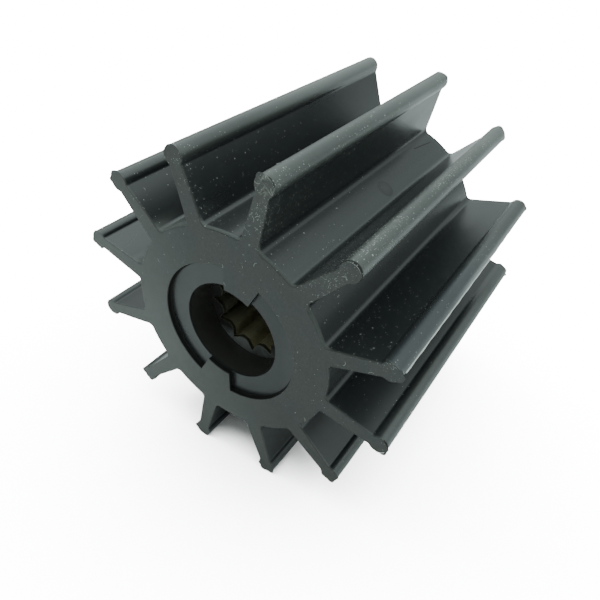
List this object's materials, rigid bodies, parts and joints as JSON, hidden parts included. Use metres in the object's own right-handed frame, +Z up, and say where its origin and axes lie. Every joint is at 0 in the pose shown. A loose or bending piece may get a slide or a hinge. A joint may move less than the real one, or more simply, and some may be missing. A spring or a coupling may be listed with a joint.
{
  "type": "flexible pump impeller",
  "caption": "Flexible rubber pump impeller with straight beaded vanes round a thick hub, moulded on a metal bush whose bore is splined for the pump shaft.",
  "frame": {"origin": "on the shaft axis at mid-length, the centre of the bounding box", "axes": "+Y along the shaft axis from the pictured end to the far end, +Z up as it lies on two vanes, +X to the right as seen from the pictured end"},
  "size_m": [0.0922, 0.0888, 0.0922],
  "materials": {
    "rubber": "moulded black rubber with a dusty grey bloom, smoother and glossier on the vanes",
    "bush_metal": "dull olive bronze, broached spline, greyer on the turned end faces"
  },
  "bodies": {
    "root": {"rubber_impeller": "rubber", "splined_bush": "bush_metal"}
  },
  "joints": []
}
